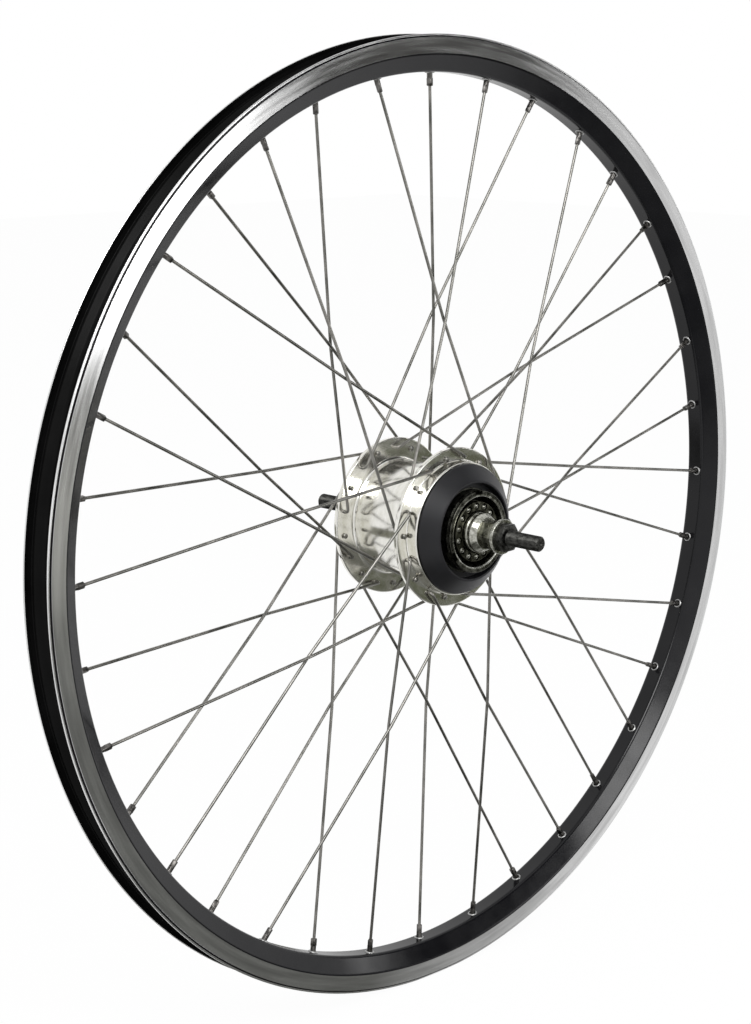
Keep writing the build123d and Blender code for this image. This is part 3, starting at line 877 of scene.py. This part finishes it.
def make_hub_shell():
    half = FLANGE_WIDTH / 2
    shell = as_object("hub_body", turned([
        (LEFT_CUP_R, NECK_END_Y, 0.3),
        (R_NECK, NECK_END_Y, 0.8),
        (R_NECK, LEFT_FLANGE_Y + half, 1.0),
        (R_FLANGE, LEFT_FLANGE_Y + half, 0.7),
        (R_FLANGE, LEFT_FLANGE_Y - half, 0.7),
        (R_BARREL_LEFT, LEFT_FLANGE_Y - half, 2.5),
        (R_BARREL_DRIVE, DRIVE_FLANGE_Y + half, 2.5),
        (R_FLANGE, DRIVE_FLANGE_Y + half, 0.7),
        (R_FLANGE, DRIVE_FLANGE_Y - half, 0.7),
        (R_SHOULDER, DRIVE_FLANGE_Y - half, 1.0),
        (R_SHOULDER, SHOULDER_END_Y, 0.8),
        (DRIVE_CUP_R, SHOULDER_END_Y, 0.3),
        (DRIVE_CUP_R, SHOULDER_END_Y + CUP_DEPTH, 0),
        (R_CAVITY, SHOULDER_END_Y + CUP_DEPTH, 0),
        (R_CAVITY, NECK_END_Y - CUP_DEPTH, 0),
        (LEFT_CUP_R, NECK_END_Y - CUP_DEPTH, 0),
    ], HUB_STEPS))
    holes = bmesh.new()
    for lacing in LACINGS.values():
        middle = Matrix.Translation(lacing["head"])
        drill(holes, SPOKE_HOLE_R, CUTTER_WALLS * FLANGE_WIDTH, [
            turn(360 / GROUP * index) @ middle @ ALONG_AXLE for index in range(GROUP)
        ])
    cut(shell, holes)
    place(shell, "wheel", ["hub_shell"], [HUB_POLISH])


def make_driver():
    driver = as_object("driver_body", turned([
        (DRIVER_BORE_R, DRIVER_BACK_Y, 0),
        (DRIVER_NECK_R, DRIVER_BACK_Y, 0),
        (DRIVER_NECK_R, DRIVER_STEP_Y, 0),
        (DRIVER_BODY_R, DRIVER_STEP_Y, 0.3),
        (DRIVER_BODY_R, SPROCKET_STOP_Y, 0.2),
        (SPROCKET_SEAT_R, SPROCKET_STOP_Y, 0.2),
        (SPROCKET_SEAT_R, CLIP_GROOVE_START_Y, 0.15),
        (CLIP_GROOVE_R, CLIP_GROOVE_START_Y, 0.15),
        (CLIP_GROOVE_R, CLIP_GROOVE_END_Y, 0.15),
        (SPROCKET_SEAT_R, CLIP_GROOVE_END_Y, 0.15),
        (SPROCKET_SEAT_R, DRIVER_FACE_Y, 0.5),
        (WORN_EDGE_R, DRIVER_FACE_Y, 0),
        (MOUTH_R, DRIVER_FACE_Y, 0.5),
        (MOUTH_FLOOR_R, MOUTH_FLOOR_Y, 0.5),
        (DRIVER_BORE_R, MOUTH_FLOOR_Y, 0.3),
    ], HUB_STEPS))
    slots = bmesh.new()
    shape = Matrix.Diagonal(Vector(SLOT_SIZE) * MM).to_4x4()
    for index in range(SLOTS):
        middle = turn(360 / SLOTS * index) @ at(0, SLOT_Y, SPROCKET_SEAT_R)
        bmesh.ops.create_cube(slots, size=1.0, matrix=middle @ shape)
    cut(driver, slots)
    place(driver, "driver", ["driver"], [DRIVER_STEEL, DRIVER_EDGE])
    for face in driver.data.polygons:
        middle = face.center / MM
        radius = hypot(middle.x, middle.z)
        if middle.y < DRIVER_FACE_Y + WORN_DEPTH and radius < WORN_EDGE_R + WORN_MARGIN:
            face.material_index = 1


def make_dust_cap():
    cap = turned([
        (CAP_BORE_R, CAP_BACK_Y, 0.2),
        (CAP_WELL_R, CAP_BACK_Y, 0.2),
        (CAP_CROWN_R, CAP_FRONT_Y + CAP_WALL, 0.3),
        (CAP_R - CAP_LEDGE, CAP_BACK_Y, 0.3),
        (CAP_R, CAP_BACK_Y, 0.4),
        (CAP_R, CAP_BACK_Y - CAP_EDGE, 0.9),
        (CAP_CROWN_R, CAP_FRONT_Y, 0.5),
        (CAP_WELL_R, CAP_FRONT_Y, 0.5),
        (CAP_WELL_R, SPROCKET_STOP_Y, 0.6),
        (CAP_BORE_R, SPROCKET_STOP_Y, 0.2),
    ], HUB_STEPS)
    place(as_object("dust_cap", cap), "driver", ["drive_dust_cap"], [CAP_PLASTIC])


def make_front_bearing():
    cage = as_object("ball_cage", turned([
        (CAGE_INNER_R, CAGE_FACE_Y, 0.4),
        (CAGE_OUTER_R, CAGE_FACE_Y, 0.5),
        (CAGE_OUTER_R, CAGE_OUTER_END_Y, 0.2),
        (CAGE_OUTER_R - CAGE_WALL, CAGE_OUTER_END_Y, 0.2),
        (CAGE_OUTER_R - CAGE_WALL, CAGE_FLOOR_Y, 0.3),
        (CAGE_INNER_R + CAGE_WALL, CAGE_FLOOR_Y, 0.3),
        (CAGE_INNER_R + CAGE_WALL, CAGE_INNER_END_Y, 0.2),
        (CAGE_INNER_R, CAGE_INNER_END_Y, 0.2),
    ], BEARING_STEPS))
    pockets, balls = bmesh.new(), bmesh.new()
    for index in range(BALLS):
        middle = turn(360 / BALLS * index) @ at(0, BALL_Y, BALL_CIRCLE)
        drill(pockets, CAGE_HOLE_R, POCKET_DEPTH, [middle @ ALONG_AXLE])
        bmesh.ops.create_icosphere(
            balls, subdivisions=BALL_SUBDIVISIONS, radius=BALL_R * MM, matrix=middle,
        )
    cut(cage, pockets)
    place(cage, "axle_set", ["cone_ball_ring"], [CAGE_STEEL])
    place(as_object("bearing_balls", balls), "axle_set", [], [BALL_STEEL])


# Axle and what is fixed on it

def thread(start, end):
    """Profile points of a screw thread between two places along the axle."""
    turns = int(abs(end - start) / THREAD_PITCH)
    step = (end - start) / turns
    points = []
    for index in range(turns):
        points.append((AXLE_R - THREAD_DEPTH, start + (index + 0.5) * step, 0))
        points.append((AXLE_R, start + (index + 1) * step, 0))
    return points


def make_axle():
    bm = turned(
        [
            (0, AXLE_DRIVE_END + CENTRE_HOLE, 0),
            (CENTRE_HOLE, AXLE_DRIVE_END, 0),
            (AXLE_R - AXLE_CHAMFER, AXLE_DRIVE_END, 0),
            (AXLE_R, AXLE_DRIVE_END + AXLE_CHAMFER, 0),
            *thread(AXLE_DRIVE_END + AXLE_CHAMFER, -NUT_FACE_Y),
            (AXLE_SEAT_R, -NUT_FACE_Y, 0),
            (AXLE_SEAT_R, NUT_FACE_Y, 0),
            (AXLE_R, NUT_FACE_Y, 0),
            *thread(NUT_FACE_Y, AXLE_LEFT_END - AXLE_CHAMFER),
            (AXLE_R - AXLE_CHAMFER, AXLE_LEFT_END, 0),
            (CENTRE_HOLE, AXLE_LEFT_END, 0),
            (0, AXLE_LEFT_END - CENTRE_HOLE, 0),
        ],
        AXLE_STEPS,
        closed=False,
    )
    for vert in bm.verts:
        if abs(vert.co.y) > (NUT_FACE_Y + FLAT_START) * MM:
            vert.co.x = max(-AXLE_FLAT * MM, min(AXLE_FLAT * MM, vert.co.x))
    place(as_object("threaded_axle", bm), "axle_set", ["axle"], [AXLE_STEEL], THREAD_CREASE)


def make_washers():
    for side, node in ((-1, "drive_washer"), (1, "left_washer")):
        washer = turned([
            (BORE_R, side * LOCK_NUT_FACE_Y, 0.2),
            (WASHER_R, side * LOCK_NUT_FACE_Y, 0.4),
            (WASHER_R, side * WASHER_FACE_Y, 0.5),
            (BORE_R, side * WASHER_FACE_Y, 0.2),
        ], RING_STEPS)
        place(as_object(node + "_ring", washer), "axle_set", [node], [CONE_STEEL])


def make_cones():
    drive_cone = turned([
        (BORE_R, DRIVE_CONE_TIP_Y, 0.2),
        (CONE_TIP_R, DRIVE_CONE_TIP_Y, 0.5),
        (CONE_R, DRIVE_CONE_TIP_Y - CONE_TAPER, 0.8),
        (CONE_R, CONE_GROOVE_Y + CONE_GROOVE_HALF, 0.3),
        (CONE_GROOVE_R, CONE_GROOVE_Y + CONE_GROOVE_FLOOR_HALF, 0.2),
        (CONE_GROOVE_R, CONE_GROOVE_Y - CONE_GROOVE_FLOOR_HALF, 0.2),
        (CONE_R, CONE_GROOVE_Y - CONE_GROOVE_HALF, 0.3),
        (CONE_R, CONE_NOSE_Y, 0.6),
        (CONE_NOSE_R, DRIVE_CONE_END_Y, 0.4),
        (BORE_R, DRIVE_CONE_END_Y, 0.2),
    ], BEARING_STEPS)
    left_cone = turned([
        (BORE_R, LEFT_CONE_TIP_Y, 0.2),
        (CONE_TIP_R, LEFT_CONE_TIP_Y, 0.5),
        (CONE_R, LEFT_CONE_TIP_Y + CONE_TAPER, 0.8),
        (CONE_R, LEFT_CONE_END_Y, 0.6),
        (BORE_R, LEFT_CONE_END_Y, 0.2),
    ], BEARING_STEPS)
    place(as_object("front_cone", drive_cone), "axle_set", ["drive_cone"], [CONE_STEEL])
    place(as_object("rear_cone", left_cone), "axle_set", ["left_cone"], [CONE_STEEL])


def make_left_end():
    spacer = turned([
        (BORE_R, LEFT_CONE_END_Y, 0.2),
        (SPACER_R, LEFT_CONE_END_Y, 0.4),
        (SPACER_R, LEFT_CONE_END_Y + SPACER_LENGTH, 0.4),
        (BORE_R, LEFT_CONE_END_Y + SPACER_LENGTH, 0.2),
    ], RING_STEPS)
    dish_start, dish_floor_start, dish_floor_end, dish_end = LEFT_CAP_DISH
    cap = turned([
        (LEFT_CAP_BORE_R, LEFT_CAP_BACK_Y, 0.2),
        (LEFT_CAP_R, LEFT_CAP_BACK_Y, 0.4),
        (LEFT_CAP_R, LEFT_CAP_FACE_Y, 0.6),
        (dish_end, LEFT_CAP_FACE_Y, 0),
        (dish_floor_end, LEFT_CAP_DISH_Y, 0.4),
        (dish_floor_start, LEFT_CAP_DISH_Y, 0.4),
        (dish_start, LEFT_CAP_FACE_Y, 0),
        (LEFT_CAP_BORE_R, LEFT_CAP_FACE_Y, 0.3),
    ], LEFT_CAP_STEPS)
    place(as_object("spacer_ring", spacer), "axle_set", ["left_spacer"], [NUT_STEEL])
    rear_cap = as_object("rear_dust_cap", cap)
    place(rear_cap, "axle_set", ["left_dust_cap"], [LEFT_CAP_STEEL])


def make_nuts():
    """The hexagon nuts, with their edges broken."""
    for node, slot, finish in (
        ("drive_lock_nut", "nut_steel", NUT_STEEL),
        ("left_lock_nut", "nut_steel", NUT_STEEL),
        ("drive_axle_nut", "axle_steel", AXLE_STEEL),
        ("left_axle_nut", "axle_steel", AXLE_STEEL),
    ):
        bm = bmesh.new()
        bm.from_mesh(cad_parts[node].data)
        weld(bm)
        bmesh.ops.dissolve_limit(
            bm, angle_limit=radians(NUT_FLAT_ANGLE), verts=bm.verts, edges=bm.edges,
        )
        sharp = [
            edge for edge in bm.edges
            if edge.is_manifold and edge.calc_face_angle() > radians(NUT_EDGE_ANGLE)
        ]
        soften(bm, sharp, NUT_EDGE, EDGE_STEPS, "EDGES")
        place(as_object(node + "_hexagon", bm), "axle_set", [node], [finish])


def finish_inner_pieces():
    for node in (
        "drive_ball_cup", "left_ball_cup", "driver_ball_ring", "left_ball_ring", "sun_gear",
        "ring_gear", "planet_carrier", "carrier_end_plate", "planet_pins",
        "planet_gear_1", "planet_gear_2", "planet_gear_3",
    ):
        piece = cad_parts[node]
        piece.data.materials.clear()
        piece.data.materials.append(GEAR_STEEL)


make_rim()
make_lacing()
make_hub_shell()
make_driver()
make_dust_cap()
make_front_bearing()
make_axle()
make_washers()
make_cones()
make_left_end()
make_nuts()
finish_inner_pieces()


# Studio, in metres and degrees

FLOOR_HALF = 6.0
PALE = (0.9, 0.9, 0.9)
MATT = 0.9
FLOOR_SHINE = 0.1
FLOOR_WHITE = 0.97
AMBIENT = 0.55

# The camera, as it was fitted to the photo
CAMERA_AZIMUTH = -45.899
CAMERA_ELEVATION = 11.946
CAMERA_DISTANCE = 1.4843
SENSOR_WIDTH = 36.0
PHOTO_HEIGHT_PIXELS = 1024
FOCAL_PIXELS = 2232.87
SHIFT_PIXELS = (50.2, 9.36)

# Where the cards lie, and how they are turned
CARD_LIFT = 0.001
FLOOR_CARD_Z = cad_box[0].z + CARD_LIFT
FLOOR_SWING = -38.4
REAR_SWING = -41.0
STANDING_SWING = 42.8
UPRIGHT = 90.0


def seen_rays(tree):
    """One where the camera, gloss or glass looks, else nought."""
    path = tree.nodes.new("ShaderNodeLightPath")
    seen = path.outputs["Is Camera Ray"]
    for other in ("Is Glossy Ray", "Is Transmission Ray"):
        either = tree.nodes.new("ShaderNodeMath")
        either.operation = "MAXIMUM"
        tree.links.new(seen, either.inputs[0])
        tree.links.new(path.outputs[other], either.inputs[1])
        seen = either.outputs[0]
    return seen


def mix_into(tree, output, share, first, second):
    """Shows a mix of two shaders at the output, by the share of the second one."""
    mix = tree.nodes.new("ShaderNodeMixShader")
    for source, socket in zip((share, first, second), mix.inputs):
        tree.links.new(source, socket)
    tree.links.new(mix.outputs[0], tree.nodes[output].inputs["Surface"])


def make_floor():
    """A pale floor that the camera, gloss and glass see as nearly plain white."""
    bm = bmesh.new()
    bmesh.ops.create_grid(bm, x_segments=1, y_segments=1, size=FLOOR_HALF)
    bmesh.ops.translate(bm, verts=bm.verts, vec=(0, 0, cad_box[0].z))
    floor = as_object("floor", bm)
    finish, tree, shader = new_finish("pale_floor")
    shader.inputs["Base Color"].default_value = (*PALE, 1.0)
    shader.inputs["Roughness"].default_value = MATT
    shader.inputs["Specular IOR Level"].default_value = FLOOR_SHINE
    share = tree.nodes.new("ShaderNodeMath")
    share.operation = "MULTIPLY"
    share.inputs[1].default_value = FLOOR_WHITE
    tree.links.new(seen_rays(tree), share.inputs[0])
    white = tree.nodes.new("ShaderNodeEmission")
    mix_into(tree, "Material Output", share.outputs[0], shader.outputs[0], white.outputs[0])
    floor.data.materials.append(finish)


def make_world():
    """A soft grey light all round that looks plain white."""
    world = bpy.data.worlds.new("studio")
    world.use_nodes = True
    tree = world.node_tree
    ambient = tree.nodes["Background"]
    ambient.inputs["Color"].default_value = (1, 1, 1, 1)
    ambient.inputs["Strength"].default_value = AMBIENT
    white = tree.nodes.new("ShaderNodeBackground")
    white.inputs["Color"].default_value = (1, 1, 1, 1)
    mix_into(tree, "World Output", seen_rays(tree), ambient.outputs[0], white.outputs[0])
    bpy.context.scene.world = world


def look_at_middle(holder, position):
    """Puts a lamp or camera at a place, looking at the wheel's middle."""
    holder.location = position
    holder.rotation_euler = (-Vector(position)).to_track_quat("-Z", "Y").to_euler()
    bpy.context.scene.collection.objects.link(holder)


def make_lamp(name, position, width, height, power):
    """A soft lamp that looks at the wheel's middle."""
    lamp = bpy.data.lights.new(name, "AREA")
    lamp.shape = "ELLIPSE"
    lamp.size = width
    lamp.size_y = height
    lamp.energy = power
    look_at_middle(bpy.data.objects.new(name, lamp), position)


def pale_towards(tree, shader, colour, across, edge, fade):
    """Makes a card's colour pale over the last stretch before its edge, so that its painted dark
    reflection fades out there.
    """
    distance = vector_maths(tree, "DOT_PRODUCT", object_coordinates(tree))
    distance.inputs[1].default_value = across
    share = spread(tree, distance.outputs["Value"], (edge, edge - fade), 0.0, 1.0)
    tree.links.new(ramp(tree, share, (0.0, 1.0), PALE, colour), shader.inputs["Base Color"])


def make_card(name, width, height, spot, colour, swing, tilt=0.0, fade=0.0):
    """A dark card that only the gloss of the metal shows: a painted dark reflection, hidden from the
    camera and casting no shadow. It can pale towards one edge.
    """
    bm = bmesh.new()
    half_side = 0.5
    bmesh.ops.create_grid(bm, x_segments=1, y_segments=1, size=half_side)
    bmesh.ops.scale(bm, verts=bm.verts, vec=(width, height, 1))
    tilted = Matrix.Rotation(radians(tilt), 4, "X")
    swung_round = Matrix.Rotation(radians(swing), 4, "Z")
    bmesh.ops.transform(bm, verts=bm.verts, matrix=Matrix.Translation(spot) @ swung_round @ tilted)
    card = as_object(name, bm)
    # The card's felt colour is a painted dark reflection, not a real surface of the scene.
    finish, tree, shader = new_finish(name + "_painted_reflection")
    shader.inputs["Base Color"].default_value = (*colour, 1.0)
    shader.inputs["Roughness"].default_value = MATT
    shader.inputs["Specular IOR Level"].default_value = 0.0
    if fade:
        across = swung_round.to_3x3() @ Vector((0, 1, 0))
        pale_towards(tree, shader, colour, across, across.dot(spot) + height / 2, fade)
    card.data.materials.append(finish)
    card.visible_camera = False
    card.visible_diffuse = False
    card.visible_shadow = False


def make_camera():
    azimuth, elevation = radians(CAMERA_AZIMUTH), radians(CAMERA_ELEVATION)
    camera = bpy.data.cameras.new("camera")
    camera.sensor_width = SENSOR_WIDTH
    camera.lens = FOCAL_PIXELS / PHOTO_HEIGHT_PIXELS * SENSOR_WIDTH
    camera.shift_x = -SHIFT_PIXELS[0] / PHOTO_HEIGHT_PIXELS
    camera.shift_y = SHIFT_PIXELS[1] / PHOTO_HEIGHT_PIXELS
    holder = bpy.data.objects.new("camera", camera)
    look_at_middle(holder, CAMERA_DISTANCE * Vector((
        sin(azimuth) * cos(elevation),
        -cos(azimuth) * cos(elevation),
        sin(elevation),
    )))
    bpy.context.scene.camera = holder


make_floor()
make_world()
make_lamp("key", (-1.6, -1.8, 2.2), width=1.6, height=1.6, power=60.0)
make_lamp("fill", (1.8, -1.6, 1.2), width=1.8, height=1.8, power=25.0)
make_lamp("low_strip", (0.94, -1.64, 0.16), width=0.52, height=0.58, power=2.0)
make_lamp("front_strip", (0.5, -1.8, 0.42), width=0.55, height=0.36, power=4.0)
# Cards that paint dark reflections into the brake track, the black coat and the polished hub, where the
# metal mirrors the shade round the wheel.
make_card(
    "front_card", width=2.2, height=2.0, spot=(1.25, -1.35, 1.45),
    colour=(0.02, 0.02, 0.018), swing=STANDING_SWING, tilt=UPRIGHT,
)
make_card(
    "track_card", width=0.47, height=0.6, spot=(1.3, -1.3, 0.24),
    colour=(0.08, 0.08, 0.075), swing=STANDING_SWING, tilt=UPRIGHT,
)
make_card(
    "near_card", width=1.08, height=0.425, spot=(0.236, -0.349, FLOOR_CARD_Z),
    colour=(0.158, 0.16, 0.15), swing=FLOOR_SWING, fade=0.14,
)
make_card(
    "middle_card", width=0.74, height=0.965, spot=(-0.063, -0.999, FLOOR_CARD_Z),
    colour=(0.158, 0.16, 0.15), swing=FLOOR_SWING,
)
make_card(
    "side_card", width=2.3, height=0.58, spot=(1.517, -1.452, FLOOR_CARD_Z),
    colour=(0.076, 0.08, 0.056), swing=FLOOR_SWING,
)
make_card(
    "far_card", width=1.85, height=0.67, spot=(0.953, -1.801, FLOOR_CARD_Z),
    colour=(0.3, 0.3, 0.28), swing=FLOOR_SWING,
)
make_card(
    "rear_card", width=0.92, height=1.2, spot=(-0.568, 1.262, FLOOR_CARD_Z),
    colour=(0.22, 0.22, 0.18), swing=REAR_SWING,
)
make_card(
    "foot_card", width=0.4, height=0.16, spot=(-0.15, 0.1, FLOOR_CARD_Z),
    colour=(0.12, 0.12, 0.1), swing=0.0,
)
make_camera()
bpy.context.scene.view_settings.view_transform = "Standard"
